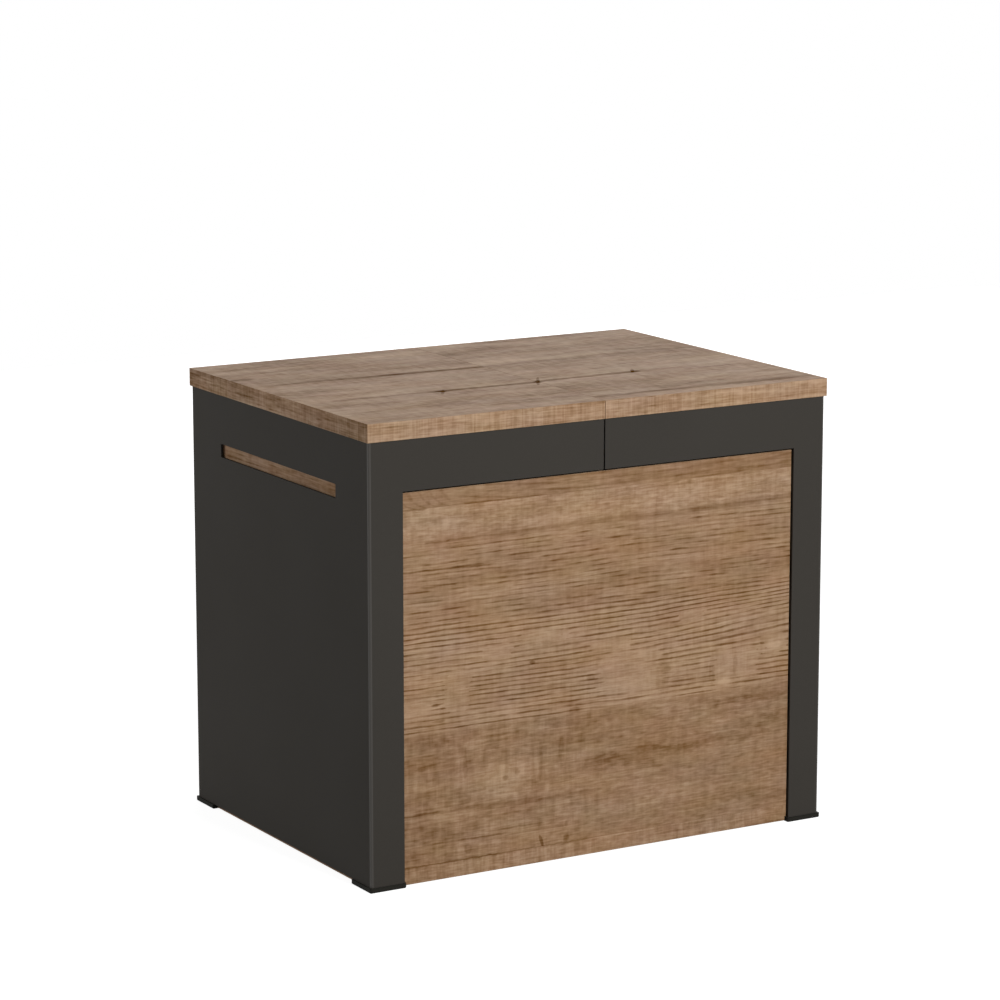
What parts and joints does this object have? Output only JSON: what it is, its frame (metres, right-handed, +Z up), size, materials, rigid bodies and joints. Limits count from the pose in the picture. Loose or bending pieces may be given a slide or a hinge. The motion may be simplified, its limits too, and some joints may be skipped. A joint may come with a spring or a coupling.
{
  "type": "extending bench",
  "caption": "Box-shaped bench of oak decor and folded dark steel whose two ends pull apart on telescopic rails, with spare seat leaves stored upright in the container between them.",
  "frame": {"origin": "on the floor, under the middle of the closed bench", "axes": "+X along the length, the way the right end pulls out; +Y from front to back; +Z up"},
  "size_m": [0.55, 0.4, 0.479],
  "materials": {
    "oak_decor": "matt decor board",
    "anthracite_steel": "fine matt powder coat",
    "black_plastic": "matt",
    "pin_plastic": "matt",
    "slider_nylon": "satin",
    "zinc_steel": "zinc plated",
    "rail_aluminium": "anodised, drawn",
    "batten_wood": "planed, raw"
  },
  "bodies": {
    "container": {"centre_rail_back": "rail_aluminium", "centre_rail_brackets": "zinc_steel", "centre_rail_fixings": "zinc_steel", "centre_rail_front": "rail_aluminium", "container_back_panel": "oak_decor", "container_bottom_panel": "oak_decor", "container_corner_posts": "batten_wood", "container_front_panel": "oak_decor", "container_glides": "black_plastic", "container_left_panel": "oak_decor", "container_right_panel": "oak_decor", "container_screws": "zinc_steel", "leaf_dividers_left": "batten_wood", "leaf_dividers_right": "batten_wood"},
    "left_end": {"left_back_foot": "black_plastic", "left_end_frame": "anthracite_steel", "left_front_foot": "black_plastic", "left_leg_tubes": "anthracite_steel", "left_outer_rail_brackets": "zinc_steel", "left_outer_rail_fixings": "zinc_steel", "left_outer_rail_sliders": "slider_nylon", "left_outer_rails": "rail_aluminium", "left_top": "oak_decor", "left_top_brackets": "zinc_steel", "left_top_pin": "pin_plastic", "left_top_screws": "zinc_steel"},
    "right_end": {"right_back_foot": "black_plastic", "right_end_frame": "anthracite_steel", "right_front_foot": "black_plastic", "right_leg_tubes": "anthracite_steel", "right_outer_rail_brackets": "zinc_steel", "right_outer_rail_fixings": "zinc_steel", "right_outer_rail_sliders": "slider_nylon", "right_outer_rails": "rail_aluminium", "right_top": "oak_decor", "right_top_brackets": "zinc_steel", "right_top_pin": "pin_plastic", "right_top_screws": "zinc_steel"},
    "left_rail_1": {"left_rail_1": "rail_aluminium", "left_rail_1_fixings": "zinc_steel", "left_rail_1_sliders": "slider_nylon"},
    "left_rail_2": {"left_rail_2": "rail_aluminium", "left_rail_2_fixings": "zinc_steel", "left_rail_2_sliders": "slider_nylon"},
    "right_rail_1": {"right_rail_1": "rail_aluminium", "right_rail_1_fixings": "zinc_steel", "right_rail_1_sliders": "slider_nylon"},
    "right_rail_2": {"right_rail_2": "rail_aluminium", "right_rail_2_fixings": "zinc_steel", "right_rail_2_sliders": "slider_nylon"},
    "leaf_1": {"leaf_1": "oak_decor", "leaf_1_pins": "pin_plastic"},
    "leaf_2": {"leaf_2": "oak_decor", "leaf_2_pins": "pin_plastic"},
    "leaf_3": {"leaf_3": "oak_decor", "leaf_3_pins": "pin_plastic"},
    "leaf_4": {"leaf_4": "oak_decor", "leaf_4_pins": "pin_plastic"}
  },
  "joints": [
    {"name": "left_extension", "type": "slide", "parent": "container", "child": "left_end", "axis": [-1, 0, 0], "range_m": [0, 0.96]},
    {"name": "left_rail_1_slide", "type": "slide", "parent": "container", "child": "left_rail_1", "axis": [-1, 0, 0], "range_m": [0, 0.32]},
    {"name": "left_rail_2_slide", "type": "slide", "parent": "container", "child": "left_rail_2", "axis": [-1, 0, 0], "range_m": [0, 0.64]},
    {"name": "right_extension", "type": "slide", "parent": "container", "child": "right_end", "axis": [1, 0, 0], "range_m": [0, 0.96]},
    {"name": "right_rail_1_slide", "type": "slide", "parent": "container", "child": "right_rail_1", "axis": [1, 0, 0], "range_m": [0, 0.32]},
    {"name": "right_rail_2_slide", "type": "slide", "parent": "container", "child": "right_rail_2", "axis": [1, 0, 0], "range_m": [0, 0.64]},
    {"name": "leaf_1_lift", "type": "slide", "parent": "container", "child": "leaf_1", "axis": [0, 0, 1], "range_m": [0, 0.035]},
    {"name": "leaf_2_lift", "type": "slide", "parent": "container", "child": "leaf_2", "axis": [0, 0, 1], "range_m": [0, 0.035]},
    {"name": "leaf_3_lift", "type": "slide", "parent": "container", "child": "leaf_3", "axis": [0, 0, 1], "range_m": [0, 0.035]},
    {"name": "leaf_4_lift", "type": "slide", "parent": "container", "child": "leaf_4", "axis": [0, 0, 1], "range_m": [0, 0.035]}
  ],
  "couplings": [
    {"joint": "left_rail_1_slide", "follows": "left_extension", "ratio": 0.33333},
    {"joint": "left_rail_2_slide", "follows": "left_extension", "ratio": 0.66667},
    {"joint": "right_rail_1_slide", "follows": "right_extension", "ratio": 0.33333},
    {"joint": "right_rail_2_slide", "follows": "right_extension", "ratio": 0.66667}
  ]
}
